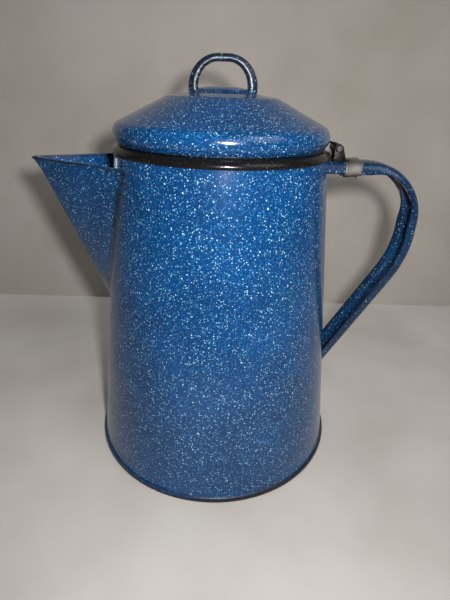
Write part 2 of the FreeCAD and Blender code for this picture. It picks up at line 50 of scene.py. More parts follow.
# --- sizes read from the frame ---
BASE_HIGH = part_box("pot_base")[1]
ROLL_LOW, ROLL_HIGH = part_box("rim_roll")
SEAM_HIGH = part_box("base_seam")[1]
SPOUT_LOW, SPOUT_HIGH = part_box("spout")
HANDLE_LOW, HANDLE_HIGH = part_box("handle")
LID_LOW, LID_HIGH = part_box("lid_shell")
COLLAR_LOW, COLLAR_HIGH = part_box("lid_collar")
LOOP_LOW, LOOP_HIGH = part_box("lid_loop")
PIN_LOW, PIN_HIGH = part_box("hinge_pin")
CLIP_LOW, CLIP_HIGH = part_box("hinge_clip")
LEAF_LOW, LEAF_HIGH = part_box("hinge_leaf")

# --- the pot ---
WALL = 0.9 * MM
ROLL_STAND = 1.35 * MM  # how far the rolled rim stands out past the wall
ROLL_RADIUS = (ROLL_HIGH.z - ROLL_LOW.z) / 2
RIM_HEIGHT = (ROLL_HIGH.z + ROLL_LOW.z) / 2
BASE_RADIUS = BASE_HIGH.x
MOUTH_RADIUS = ROLL_HIGH.x - ROLL_STAND
TAPER = (BASE_RADIUS - MOUTH_RADIUS) / RIM_HEIGHT
ROUND_STEPS = 160
ROLL_STEPS = 24
CORE_STEPS = 96
ROLL_SQUEEZE = 0.86  # the roll's width as a share of its height
ROLL_LEAN = 0.5  # how far it leans in for each unit up
RIM_FLARE = 0.2 * MM
SEAM_FLARE = 0.4 * MM
FLARE_BEND = 12 * MM
SEAM_WEAR = 0.78  # just short of bare steel: the blue thins to black

# --- the spout ---
SPOUT_EDGE = SPOUT_HIGH.z
SPOUT_FOOT = SPOUT_LOW.z - WALL
SPOUT_REACH = -SPOUT_LOW.x
SPOUT_HALF_WIDTH = 30.5 * MM
SPOUT_ROUNDNESS = 0.55
SPOUT_SHEET = 0.75 * MM
SPOUT_TOP = SPOUT_EDGE - 0.3 * MM  # top of the sheet, inside the bead
SPOUT_LEVELS = 30
LEVEL_CROWDING = 1.35  # over 1 sets the levels closer at the foot
LEAST_SHARE = 0.004  # keeps the lowest section from closing to a point
NOSE_RADIUS = 4.2 * MM
NOSE_STEPS = 8
FLANK_STEPS = 6
BEAK = 1.6 * MM
BEAK_HEIGHT = 9 * MM
BEAK_SHARPENING = 0.55
FILLET = 18 * MM
FILLET_GROWTH = 0.7
FILLET_STEPS = 9
BEAD_RADIUS = 0.62 * MM
BEAD_SIDES = 8
STRAINER_HOLE = 1.9 * MM
STRAINER_ROWS = (6, 5, 4, 3)
STRAINER_PITCH = 6.5 * MM
STRAINER_BELOW_EDGE = 11 * MM

# --- the handle ---
HANDLE_TOP = HANDLE_HIGH.z
HANDLE_REACH = HANDLE_HIGH.x
HANDLE_WIDTH = HANDLE_HIGH.y - HANDLE_LOW.y
HANDLE_KNEE = RIM_HEIGHT - 53 * MM
HANDLE_FOOT = 46 * MM
HANDLE_DEPTH = 5.9 * MM
HANDLE_THROAT_DEPTH = 3.4 * MM
HANDLE_SHEET = 1.1 * MM
HANDLE_CROWN = 4.2 * MM
HANDLE_TOP_BEND = 30 * MM
HANDLE_KNEE_BEND = 55 * MM
HANDLE_INTO_WALL_TOP = 4 * MM
HANDLE_INTO_WALL_FOOT = 6 * MM

# --- the lid ---
LID_EDGE = LID_LOW.z
LID_RADIUS = LID_HIGH.x
LID_SHEET = 0.9 * MM
# radius, drop below the crown, bend
LID_TOP = (
    (9.5 * MM, 0.35 * MM, 22 * MM),
    (17.4 * MM, 3.2 * MM, 1.6 * MM),
    (26.6 * MM, 4.6 * MM, 7 * MM),
)
# radius past the lid's own, rise above its lower edge, bend
LID_BULGE = (
    (-1.2 * MM, 8.9 * MM, 4.4 * MM),
    (0.1 * MM, 4.2 * MM, 4.6 * MM),
)
LID_TUCK = 2.7 * MM
COLLAR_RADIUS = 47.55 * MM
COLLAR_SHEET = 0.8 * MM
LOOP_FOOT = LID_EDGE + 21.0 * MM
LOOP_BEND = 14 * MM
LOOP_SHEET = 0.8 * MM
LOOP_LEG_DEPTH = 4.7 * MM
LOOP_TOP_DEPTH = 3.1 * MM

# --- the hinge ---
PIN = Vector(((PIN_LOW.x + PIN_HIGH.x) / 2, 0, (PIN_LOW.z + PIN_HIGH.z) / 2))
PIN_SHANK = 1.0 * MM
PIN_HEAD_THICKNESS = 0.9 * MM
PIN_HEAD_ROUNDING = 0.7 * MM
LEAF_SHEET = 1.0 * MM
KNUCKLE_RADIUS = 2.1 * MM
KNUCKLE_HALF = 2.5 * MM
BAND_SHEET = 0.7 * MM
BAND_START = 61.15 * MM
BAND_STEPS = 8
BAND_PINCH = 0.45 * MM  # half the gap between the two ends below the handle
EAR_RADIUS = 2.15 * MM
EAR_HALF = 1.8 * MM
EAR_GAP = 0.3 * MM
EAR_MIDDLE = KNUCKLE_HALF + EAR_GAP + EAR_HALF

# --- the insert ---
INSERT_NODES = (
    "pump_tube",
    "pump_foot",
    "valve_seat",
    "valve_disc",
    "basket_stop",
    "basket",
    "basket_cover",
)


def wall_radius(height):
    """Outside radius of the pot's wall at a height."""
    return BASE_RADIUS - TAPER * height


# ---------------------------------------------------------------- mesh work


def rounded(corners, steps=6):
    """Points of a line through corners (across, up) or (across, up, radius), with arcs at the radii."""
    line = [Vector(corners[0][:2])]
    for before, corner, after in zip(corners, corners[1:], corners[2:]):
        here = Vector(corner[:2])
        if len(corner) < 3:
            line.append(here)
            continue
        back = (Vector(before[:2]) - here).normalized()
        ahead = (Vector(after[:2]) - here).normalized()
        half = back.angle(ahead) / 2
        start = here + back * (corner[2] / math.tan(half))
        end = here + ahead * (corner[2] / math.tan(half))
        centre = here + (back + ahead).normalized() * (corner[2] / math.sin(half))
        for step in range(steps + 1):
            line.append(centre + (start - centre).slerp(end - centre, step / steps) * corner[2])
    line.append(Vector(corners[-1][:2]))
    return line


def arc(centre, radius, start, end, steps):
    """Points on an arc between two angles in degrees."""
    turn = [math.radians(start + (end - start) * step / steps) for step in range(steps + 1)]
    return [Vector((centre[0] + radius * math.cos(a), centre[1] + radius * math.sin(a))) for a in turn]


def turned(profile, closed=False, steps=ROUND_STEPS):
    """Sheet turned about the pot's axis from points (radius, height)."""
    bm = bmesh.new()
    chain = [bm.verts.new((across, 0, up)) for across, up in profile]
    ends = chain[1:] + chain[:1] if closed else chain[1:]
    edges = [bm.edges.new(pair) for pair in zip(chain, ends)]
    bmesh.ops.spin(
        bm, geom=chain + edges, cent=(0, 0, 0), axis=(0, 0, 1), angle=math.tau, steps=steps, use_merge=True
    )
    bmesh.ops.remove_doubles(bm, verts=bm.verts[:], dist=SAME_PLACE)
    bmesh.ops.recalc_face_normals(bm, faces=bm.faces[:])
    return bm


def drawn(rows, closed=False, capped=False):
    """Sheet drawn out from the first row of points to each next row."""
    bm = bmesh.new()
    chain = [bm.verts.new(place) for place in rows[0]]
    ends = chain[1:] + chain[:1] if closed else chain[1:]
    edges = [bm.edges.new(pair) for pair in zip(chain, ends)]
    first = edges
    for row in rows[1:]:
        out = bmesh.ops.extrude_edge_only(bm, edges=edges)["geom"]
        edges = [part for part in out if isinstance(part, bmesh.types.BMEdge)]
        fresh = [part for part in out if isinstance(part, bmesh.types.BMVert)]
        known = {vert: index for index, vert in enumerate(chain)}
        chain = [None] * len(row)
        for vert in fresh:
            old = next(e.other_vert(vert) for e in vert.link_edges if e.other_vert(vert) in known)
            chain[known[old]] = vert
        for vert, place in zip(chain, row):
            vert.co = place
    if capped:
        bmesh.ops.holes_fill(bm, edges=first + edges, sides=0)
    bmesh.ops.recalc_face_normals(bm, faces=bm.faces[:])
    return bm


def thickened(bm, sheet):
    """Give the sheet its thickness, on the side away from its normals."""
    bmesh.ops.solidify(bm, geom=bm.faces[:], thickness=sheet)
    bmesh.ops.recalc_face_normals(bm, faces=bm.faces[:])


def eased(bm, width):
    """Round the sharp edges of a solid over a width."""
    sharp = [e for e in bm.edges if len(e.link_faces) == 2 and e.calc_face_angle() > EASED_ABOVE]
    bmesh.ops.bevel(
        bm,
        geom=sharp,
        offset=width,
        affect="EDGES",
        segments=2,
        profile=0.5,
        material=-1,
        clamp_overlap=True,
    )


def loose(bm):
    """Object for a bmesh that is only worked with."""
    mesh = bpy.data.meshes.new("loose")
    bm.to_mesh(mesh)
    bm.free()
    obj = bpy.data.objects.new("loose", mesh)
    bpy.context.scene.collection.objects.link(obj)
    return obj


def cut(bm, *tools):
    """What is left of a solid when the tools are taken out of it."""
    work = [loose(part) for part in (bm, *tools)]
    for tool in work[1:]:
        taken = work[0].modifiers.new("taken", "BOOLEAN")
        taken.operation = "DIFFERENCE"
        taken.solver = "EXACT"
        taken.object = tool
    bpy.context.view_layer.update()
    left = bmesh.new()
    left.from_mesh(work[0].evaluated_get(bpy.context.evaluated_depsgraph_get()).to_mesh())
    for obj in work:
        bpy.data.meshes.remove(obj.data)
    return left


def wear_and_shade_mark(bm, amount):
    """Store how bare or dark a place is, from a function of the place: edge wear, and on some pieces painted
    shade.
    """
    layer = bm.verts.layers.float.new("wear_and_shade_mark")
    for vert in bm.verts:
        vert[layer] = min(max(amount(vert.co), 0.0), 1.0)
    return bm


def joined(*parts):
    """Several solids as one mesh."""
    whole = bmesh.new()
    for part in parts:
        mesh = bpy.data.meshes.new("part")
        part.to_mesh(mesh)
        part.free()
        whole.from_mesh(mesh)
        bpy.data.meshes.remove(mesh)
    return whole


def piece(name, bm, body, material, node):
    """Finished piece with its material, riding on a body in place of one of the frame's nodes."""
    for face in bm.faces:
        face.smooth = True
    for edge in bm.edges:
        edge.smooth = len(edge.link_faces) == 2 and edge.calc_face_angle(math.pi) < SMOOTH_BELOW
    mesh = bpy.data.meshes.new(name)
    bm.to_mesh(mesh)
    bm.free()
    mesh.materials.append(material)
    obj = bpy.data.objects.new(name, mesh)
    bpy.context.scene.collection.objects.link(obj)
    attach(obj, body)
    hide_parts(node)


# ---------------------------------------------------------------- shader work


def put(tree, kind, inputs=None, **settings):
    """Node with its settings, and its inputs set or linked."""
    made = tree.nodes.new("ShaderNode" + kind)
    for key, value in settings.items():
        setattr(made, key, value)
    for key, value in (inputs or {}).items():
        if isinstance(value, bpy.types.NodeSocket):
            tree.links.new(value, made.inputs[key])
        else:
            made.inputs[key].default_value = value
    return made


def maths(tree, operation, first, second=0.0, clamp=False):
    """Result of a sum on one or two values."""
    return put(tree, "Math", {0: first, 1: second}, operation=operation, use_clamp=clamp).outputs[0]


def ramp(tree, value, low, high, start=0.0, end=1.0):
    """The value carried from one range to another, and held at its ends."""
    return put(tree, "MapRange", {0: value, 1: low, 2: high, 3: start, 4: end}).outputs[0]


def blended(tree, share, first, second):
    """Colour that goes from the first to the second by a share."""
    mix = put(tree, "Mix", {0: share, 6: first, 7: second}, data_type="RGBA")
    return mix.outputs[2]


def group(name, inputs, outputs):
    """Empty shader group with named sockets."""
    tree = bpy.data.node_groups.new(name, "ShaderNodeTree")
    for label, kind, value in inputs:
        socket = tree.interface.new_socket(label, in_out="INPUT", socket_type="NodeSocket" + kind)
        if value is not None:
            socket.default_value = value
    for label, kind in outputs:
        tree.interface.new_socket(label, in_out="OUTPUT", socket_type="NodeSocket" + kind)
    return tree, tree.nodes.new("NodeGroupInput").outputs, tree.nodes.new("NodeGroupOutput").inputs


def use(tree, which, **inputs):
    """Outputs of a group's new copy, with its inputs set or linked."""
    made = tree.nodes.new("ShaderNodeGroup")
    made.node_tree = which
    for key, value in inputs.items():
        if isinstance(value, bpy.types.NodeSocket):
            tree.links.new(value, made.inputs[key])
        else:
            made.inputs[key].default_value = value
    return made.outputs


def flecks_group():
    """Specks thrown on the wet coat: round, uneven in size and brightness."""
    tree, given, result = group(
        "flecks",
        [
            ("Place", "Vector", None),
            ("Per_metre", "Float", 800.0),
            ("Size", "Float", 0.3),
            ("Softness", "Float", 0.1),
        ],
        [("Mask", "Float"), ("Height", "Float")],
    )
    cells = put(tree, "TexVoronoi", {"Vector": given["Place"], "Scale": given["Per_metre"]})
    parts = put(tree, "SeparateColor", {0: cells.outputs["Color"]}).outputs
    size = maths(tree, "MULTIPLY", given["Size"], ramp(tree, parts[0], 0.0, 1.0, 0.35, 1.25))
    inside = maths(tree, "SUBTRACT", size, cells.outputs["Distance"])
    mask = maths(tree, "DIVIDE", inside, given["Softness"], clamp=True)
    bright = ramp(tree, parts[1], 0.0, 1.0, 0.2, 1.0)
    tree.links.new(maths(tree, "MULTIPLY", mask, bright), result["Mask"])
    tree.links.new(mask, result["Height"])
    return tree


def peel_group():
    """The slight waviness of a fired coat over pressed sheet."""
    tree, given, result = group(
        "peel",
        [("Place", "Vector", None), ("Fine", "Float", 0.25)],
        [("Height", "Float")],
    )
    broad = put(tree, "TexNoise", {"Vector": given["Place"], "Scale": 55.0, "Detail": 1.0}).outputs[0]
    fine = put(tree, "TexNoise", {"Vector": given["Place"], "Scale": 480.0, "Detail": 2.0}).outputs[0]
    tree.links.new(maths(tree, "ADD", broad, maths(tree, "MULTIPLY", fine, given["Fine"])), result["Height"])
    return tree


def wear_and_shade_group():
    """Ragged mask along edges, from the piece's own attribute, which holds edge wear and, on some pieces,
    painted shade.
    """
    tree, given, result = group(
        "edge_wear_and_shade",
        [("Place", "Vector", None), ("Amount", "Float", 1.0)],
        [("Dark", "Float"), ("Bare", "Float")],
    )
    edge = put(tree, "Attribute", attribute_name="wear_and_shade_mark").outputs["Fac"]
    torn = {"Vector": given["Place"], "Scale": 420.0, "Detail": 4.0, "Roughness": 0.65}
    ragged = put(tree, "TexNoise", torn).outputs[0]
    reach = maths(tree, "MULTIPLY", edge, given["Amount"])
    level = maths(tree, "ADD", reach, maths(tree, "MULTIPLY", ragged, 0.7))
    tree.links.new(ramp(tree, level, 0.82, 1.02), result["Dark"])
    tree.links.new(ramp(tree, level, 1.24, 1.32), result["Bare"])
    return tree


def grime_group():
    """Broad cloudy dulling with small spots in it."""
    tree, given, result = group(
        "grime",
        [("Place", "Vector", None), ("Scale", "Float", 25.0)],
        [("Cloud", "Float"), ("Spots", "Float")],
    )
    cloudy = {"Vector": given["Place"], "Scale": given["Scale"], "Detail": 5.0}
    cloud = put(tree, "TexNoise", cloudy).outputs[0]
    spots = put(tree, "TexNoise", {"Vector": given["Place"], "Scale": 700.0, "Detail": 3.0}).outputs[0]
    tree.links.new(ramp(tree, cloud, 0.35, 0.7), result["Cloud"])
    tree.links.new(ramp(tree, spots, 0.62, 0.74), result["Spots"])
    return tree


FLECKS = flecks_group()
PEEL = peel_group()
WEAR_AND_SHADE = wear_and_shade_group()
GRIME = grime_group()

FINE_FLECKS = {"Per_metre": 1300.0, "Size": 0.45, "Softness": 0.15}
MIDDLE_FLECKS = {"Per_metre": 1000.0, "Size": 0.29, "Softness": 0.12}
LARGE_FLECKS = {"Per_metre": 400.0, "Size": 0.15, "Softness": 0.05}
PALE_BLUE = (0.36, 0.58, 0.72)
# Dark of enamel thinned over edges; the same colour paints shade in joins and gaps.
THIN_ENAMEL_AND_SHADE = (0.006, 0.009, 0.018)
BARE_STEEL = (0.12, 0.09, 0.075)
RUBBED_BLACK = (0.014, 0.01, 0.009)


def new_material(name, **settings):
    """Material with a bare Principled shader, its even settings on its own sockets."""
    made = bpy.data.materials.new(name)
    made.use_nodes = True
    tree = made.node_tree
    shader = tree.nodes["Principled BSDF"]
    for key, value in settings.items():
        shader.inputs[key.replace("_", " ")].default_value = value
    place = tree.nodes.new("ShaderNodeTexCoord").outputs["Object"]
    return made, tree, shader.inputs, place


def speckled_enamel(name, ground, deep, flecks, sparkle, rough, coat, waves=0.35):
    """Enamel with three sizes of flecks, and a dark line where it thins over edges, also used for painted
    shade in joins and gaps.

    ground and deep are the two blues of the ground, and flecks the colour of its finest specks.
    """
    made, tree, shader, place = new_material(name, IOR=1.45, Coat_Weight=coat, Coat_Roughness=0.05)
    grime = use(tree, GRIME, Place=place, Scale=38.0)
    base = blended(tree, grime["Cloud"], (*ground, 1), (*deep, 1))
    fine = use(tree, FLECKS, Place=place, **FINE_FLECKS)
    base = blended(tree, maths(tree, "MULTIPLY", fine["Mask"], sparkle), base, (*flecks, 1))
    middle = use(tree, FLECKS, Place=place, **MIDDLE_FLECKS)
    base = blended(tree, maths(tree, "MULTIPLY", middle["Mask"], sparkle), base, (*PALE_BLUE, 1))
    large = use(tree, FLECKS, Place=place, **LARGE_FLECKS)
    base = blended(tree, maths(tree, "MULTIPLY", large["Mask"], sparkle), base, (*PALE_BLUE, 1))
    # The dark mask covers edge wear and the painted shade marked on some pieces.
    shade_and_wear = use(tree, WEAR_AND_SHADE, Place=place, Amount=1.0)
    base = blended(tree, shade_and_wear["Dark"], base, (*THIN_ENAMEL_AND_SHADE, 1))
    base = blended(tree, shade_and_wear["Bare"], base, (*BARE_STEEL, 1))
    tree.links.new(base, shader["Base Color"])
    dull = maths(tree, "ADD", maths(tree, "MULTIPLY", grime["Cloud"], 0.05), rough)
    duller = maths(tree, "ADD", dull, maths(tree, "MULTIPLY", shade_and_wear["Bare"], 0.4))
    tree.links.new(duller, shader["Roughness"])
    peel = use(tree, PEEL, Place=place, Fine=waves * 0.35)
    height = maths(tree, "ADD", peel["Height"], maths(tree, "MULTIPLY", middle["Height"], 0.05))
    bump = put(tree, "Bump", {"Height": height, "Strength": waves, "Distance": 0.0006})
    tree.links.new(bump.outputs[0], shader["Normal"])
    return made


def plain_enamel(name, ground, chip, rough):
    """Dark enamel without flecks, with small chips and rubbed places."""
    made, tree, shader, place = new_material(name, IOR=1.33)
    grime = use(tree, GRIME, Place=place, Scale=60.0)
    base = blended(tree, maths(tree, "MULTIPLY", grime["Spots"], 0.5), (*ground, 1), (*chip, 1))
    worked = {"Vector": place, "Scale": 130.0, "Detail": 4.0, "Roughness": 0.7}
    rubbed = put(tree, "TexNoise", worked).outputs[0]
    base = blended(tree, ramp(tree, rubbed, 0.6, 0.75, 0.0, 0.4), base, (*RUBBED_BLACK, 1))
    tree.links.new(base, shader["Base Color"])
    dull = maths(tree, "ADD", maths(tree, "MULTIPLY", grime["Spots"], 0.35), rough)
    tree.links.new(dull, shader["Roughness"])
    height = maths(tree, "SUBTRACT", use(tree, PEEL, Place=place, Fine=0.3)["Height"], grime["Spots"])
    bump = put(tree, "Bump", {"Height": height, "Strength": 0.45, "Distance": 0.0005})
    tree.links.new(bump.outputs[0], shader["Normal"])
    return made


def worked_metal(name, bright, dull, rough, stain, spun=False):
    """Bare sheet metal: tool marks, stains and a dull film."""
    made, tree, shader, place = new_material(name, IOR=1.45)
    grime = use(tree, GRIME, Place=place, Scale=90.0)
    base = blended(tree, grime["Cloud"], (*bright, 1), (*dull, 1))
    base = blended(tree, maths(tree, "MULTIPLY", grime["Spots"], 0.7), base, (*stain, 1))
    if spun:
        parts = put(tree, "SeparateXYZ", {0: place}).outputs
        across = put(tree, "VectorMath", {0: place, 1: (1, 1, 0)}, operation="MULTIPLY").outputs[0]
        length = put(tree, "VectorMath", {0: across}, operation="LENGTH").outputs["Value"]
        rings = put(tree, "CombineXYZ", {0: length, 2: parts[2]}).outputs[0]
        marks = put(tree, "TexNoise", {"Vector": rings, "Scale": 2600.0, "Detail": 3.0}).outputs[0]
    else:
        along = put(tree, "Mapping", {"Vector": place, "Scale": (1.0, 0.06, 1.0)}).outputs[0]
        marks = put(tree, "TexNoise", {"Vector": along, "Scale": 1800.0, "Detail": 3.0}).outputs[0]
    tree.links.new(base, shader["Base Color"])
    tree.links.new(ramp(tree, grime["Spots"], 0.0, 1.0, 0.92, 0.35), shader["Metallic"])
    spread = maths(tree, "ADD", maths(tree, "MULTIPLY", marks, 0.16), rough)
    film = maths(tree, "ADD", spread, maths(tree, "MULTIPLY", grime["Cloud"], 0.14))
    tree.links.new(film, shader["Roughness"])
    bump = put(tree, "Bump", {"Height": marks, "Strength": 0.25, "Distance": 0.0002})
    tree.links.new(bump.outputs[0], shader["Normal"])
    return made


BLUE = speckled_enamel(
    "blue_speckled_enamel",
    ground=(0.002, 0.04, 0.138),
    deep=(0.002, 0.027, 0.095),
    flecks=(0.018, 0.145, 0.34),
    sparkle=1.08,
    rough=0.16,
    coat=0.12,
)
HANDLE_BLUE = speckled_enamel(
    "handle_enamel",
    ground=(0.002, 0.025, 0.08),
    deep=(0.002, 0.012, 0.04),
    flecks=(0.012, 0.085, 0.2),
    sparkle=0.6,
    rough=0.22,
    coat=0.05,
)
NAVY = speckled_enamel(
    "dark_speckled_enamel",
    ground=(0.003, 0.012, 0.036),
    deep=(0.003, 0.006, 0.014),
    flecks=(0.012, 0.08, 0.17),
    sparkle=0.7,
    rough=0.3,
    coat=0.0,
    waves=1.0,
)
SEAM_BLUE = speckled_enamel(
    "seam_enamel",
    ground=(0.002, 0.025, 0.085),
    deep=(0.002, 0.015, 0.05),
    flecks=(0.012, 0.08, 0.2),
    sparkle=0.5,
    rough=0.3,
    coat=0.0,
)
BLACK = plain_enamel(
    "black_edge_enamel", ground=(0.005, 0.0045, 0.005), chip=(0.04, 0.028, 0.025), rough=0.2
)
UNDERSIDE = plain_enamel(
    "underside_enamel", ground=(0.012, 0.016, 0.03), chip=(0.1, 0.07, 0.05), rough=0.35
)
TIN = worked_metal(
    "tinned_band",
    bright=(0.22, 0.21, 0.195),
    dull=(0.1, 0.095, 0.09),
    rough=0.46,
    stain=(0.06, 0.045, 0.035),
)
STEEL = worked_metal(
    "dark_steel_wire",
    bright=(0.16, 0.15, 0.14),
    dull=(0.06, 0.05, 0.05),
    rough=0.38,
    stain=(0.08, 0.04, 0.03),
)
LEAF_STEEL = worked_metal(
    "burnt_steel_leaf",
    bright=(0.03, 0.028, 0.03),
    dull=(0.012, 0.011, 0.012),
    rough=0.3,
    stain=(0.12, 0.1, 0.085),
)
ALUMINIUM = worked_metal(
    "spun_aluminium",
    bright=(0.8, 0.8, 0.79),
    dull=(0.6, 0.6, 0.59),
    rough=0.24,
    stain=(0.3, 0.27, 0.23),
    spun=True,
)


# ---------------------------------------------------------------- the pot


def pot_wall():
    """Tapered wall, flared under the rolled rim and over the seam, with the strainer drilled through it."""
    foot = 1 * MM
    below_rim = RIM_HEIGHT - 5 * MM
    above_seam = 7 * MM
    middle = RIM_HEIGHT / 2
    profile = rounded(
        [
            (wall_radius(foot) - WALL, foot),
            (MOUTH_RADIUS - WALL, RIM_HEIGHT),
            (MOUTH_RADIUS + RIM_FLARE, RIM_HEIGHT),
            (MOUTH_RADIUS + RIM_FLARE, RIM_HEIGHT - 1.6 * MM, 1.2 * MM),
            (wall_radius(below_rim), below_rim, FLARE_BEND),
            (wall_radius(middle), middle),
            (wall_radius(above_seam), above_seam, FLARE_BEND),
            (wall_radius(foot) + SEAM_FLARE, foot),
        ]
    )
    wall = turned(profile, closed=True)
    drills = []
    for row, count in enumerate(STRAINER_ROWS):
        height = SPOUT_EDGE - STRAINER_BELOW_EDGE - row * STRAINER_PITCH
        for place in range(count):
            across = (place - (count - 1) / 2) * STRAINER_PITCH
            drill = bmesh.new()
            bmesh.ops.create_cone(
                drill,
                cap_ends=True,
                segments=24,
                radius1=STRAINER_HOLE,
                radius2=STRAINER_HOLE,
                depth=BASE_RADIUS / 2,
            )
            turn = Matrix.Rotation(math.pi / 2, 4, "Y")
            move = Matrix.Translation((-wall_radius(height), across, height))
            bmesh.ops.transform(drill, matrix=move @ turn, verts=drill.verts)
            drills.append(drill)
    wall = cut(wall, joined(*drills))
    piece("pot_wall", wall, "pot", BLUE, "pot_body")


def rim_roll():
    """Wire-stiffened rolled rim, which leans in towards its top."""
    centre = ROLL_HIGH.x - ROLL_RADIUS
    section = []
    for spot in arc((0, 0), ROLL_RADIUS, 0, 360, ROLL_STEPS)[:-1]:
        across = centre + ROLL_SQUEEZE * spot.x - ROLL_LEAN * spot.y
        section.append(Vector((across, RIM_HEIGHT + spot.y)))
    piece("rolled_rim", turned(section, closed=True), "pot", BLACK, "rim_roll")


def base_seam():
    """Folded seam that holds the bottom disc."""
    out = SEAM_HIGH.x
    top = SEAM_HIGH.z
    section = rounded(
        [
            (BASE_RADIUS - 3 * MM, 0.5 * MM),
            (BASE_RADIUS - 3 * MM, 0.0),
            (out - 0.1 * MM, 0.0, 0.9 * MM),
            (out, 1.4 * MM, 1.2 * MM),
            (out - 0.5 * MM, top - 0.2 * MM, 0.5 * MM),
            (wall_radius(top) - 0.3 * MM, top + 0.5 * MM),
            (BASE_RADIUS - WALL, top * 0.5),
        ],
        steps=5,
    )

    def bare(place):
        border = top * (0.9 + 0.2 * place.x / BASE_RADIUS)
        return SEAM_WEAR if place.z < border else 0.0

    ring = wear_and_shade_mark(turned(section, closed=True), bare)
    piece("base_seam_ring", ring, "pot", SEAM_BLUE, "base_seam")


def bottom_disc():
    """Bottom disc, pressed up a little inside a shallow step."""
    top = BASE_HIGH.z
    rim = BASE_RADIUS - 0.6 * MM
    step_out = rim - 5 * MM
    step_in = rim - 7 * MM
    bend = 1 * MM
    under = [
        (rim, top - 0.2 * MM),
        (rim, 0.1 * MM),
        (step_out, 0.05 * MM, bend),
        (step_in, 0.55 * MM, bend),
        (0, 0.6 * MM),
    ]
    over = [
        (0, top + 0.4 * MM),
        (step_in, top + 0.35 * MM, bend),
        (step_out, top, bend),
        (rim, top),
    ]
    profile = rounded(under, 4) + rounded(over, 4)
    piece("bottom_disc", turned(profile), "pot", UNDERSIDE, "pot_base")


def spout_half(height, shrink=0.0):
    """One side of a level section through the spout: nose, flank, and the fillet into the wall."""
    share = min(max((height - SPOUT_FOOT) / (SPOUT_EDGE - SPOUT_FOOT), LEAST_SHARE), 1.0)
    flare = max(0.0, 1 - (SPOUT_EDGE - height) / BEAK_HEIGHT) ** 2
    foot = wall_radius(SPOUT_FOOT)
    tip = foot + (SPOUT_REACH - BEAK - foot) * share + BEAK * flare - shrink
    half = SPOUT_HALF_WIDTH * share**SPOUT_ROUNDNESS - shrink
    radius = wall_radius(height)
    root = math.sqrt(radius**2 - half**2)
    nose = min(NOSE_RADIUS * (1 - BEAK_SHARPENING * flare), half * 0.35, (tip - root) * 0.4)
    centre = tip - nose
    bearing = math.atan2(half, root - centre)
    touch = bearing - math.acos(nose / math.hypot(root - centre, half))
    normal = Vector((math.cos(touch), math.sin(touch)))
    along = Vector((-normal.y, normal.x))
    fillet = FILLET * share**FILLET_GROWTH
    distance = centre * normal.x + nose + fillet
    hub = normal * distance - along * math.sqrt((radius + fillet) ** 2 - distance**2)
    start = -normal * fillet
    end = -hub.normalized() * fillet
    line = arc((centre, 0), nose, 0, math.degrees(touch), NOSE_STEPS)
    flank_end = hub + start
    line += [line[-1].lerp(flank_end, step / FLANK_STEPS) for step in range(1, FLANK_STEPS)]
    line += [hub + start.slerp(end, step / FILLET_STEPS) * fillet for step in range(FILLET_STEPS + 1)]
    return line


def spout_row(height, shrink=0.0):
    """Whole level section, from one side of the wall round the nose to the other."""
    side = spout_half(height, shrink)
    far = [Vector((-ahead, across, height)) for ahead, across in reversed(side)]
    near = [Vector((-ahead, -across, height)) for ahead, across in side[1:]]
    return far + near


def spout_levels():
    """Heights of the sections, from the foot to the top of the sheet."""
    shares = [(step / SPOUT_LEVELS) ** LEVEL_CROWDING for step in range(SPOUT_LEVELS + 1)]
    return [SPOUT_FOOT + (SPOUT_TOP - SPOUT_FOOT) * share for share in shares]


def spout():
    """Open V of folded sheet, drawn up level by level."""
    sheet = drawn([spout_row(height) for height in spout_levels()])
    tip = min(sheet.faces, key=lambda face: face.calc_center_median().x)
    if tip.normal.x > 0:
        bmesh.ops.reverse_faces(sheet, faces=sheet.faces[:])
    thickened(sheet, SPOUT_SHEET)

    def edge(place):
        keel = 1 - abs(place.y) / (1.5 * MM)
        rim = 1 - (SPOUT_EDGE - place.z) / (1.2 * MM)
        ahead = (-place.x - wall_radius(place.z)) / (6 * MM)
        # Painted shade: the sheet darkens within 6 mm of the wall, in the fillet's join; the keel and upper
        # edge darken as wear.
        shade_in_join = 1 - (math.hypot(place.x, place.y) - wall_radius(place.z)) / (6 * MM)
        return max(min(keel, ahead) * 0.55, rim * 0.8, shade_in_join * 0.62)

    piece("spout_sheet", wear_and_shade_mark(sheet, edge), "pot", BLUE, "spout")


def spout_bead():
    """Thin rolled bead along the spout's upper edge."""
    path = spout_row(SPOUT_TOP, SPOUT_SHEET * 0.4)
    rows = []
    for index, here in enumerate(path):
        before = path[max(index - 1, 0)]
        after = path[min(index + 1, len(path) - 1)]
        side = (after - before).normalized().cross(Vector((0, 0, 1)))
        ring = []
        for step in range(BEAD_SIDES):
            turn = math.tau * step / BEAD_SIDES
            out = side * (BEAD_RADIUS * math.cos(turn))
            up = Vector((0, 0, BEAD_RADIUS * math.sin(turn)))
            ring.append(here + out + up)
        rows.append(ring)
    bead = drawn(rows, closed=True, capped=True)

    def edge(place):
        under = (SPOUT_EDGE - place.z) / BEAD_RADIUS > 0.3
        at_tip = place.x < 4 * MM - SPOUT_REACH
        return 0.62 + 0.12 * math.sin(place.x * 700) if under or at_tip else 0.2

    piece("spout_edge_bead", wear_and_shade_mark(bead, edge), "pot", SEAM_BLUE, "spout_lip")


# ---------------------------------------------------------------- straps


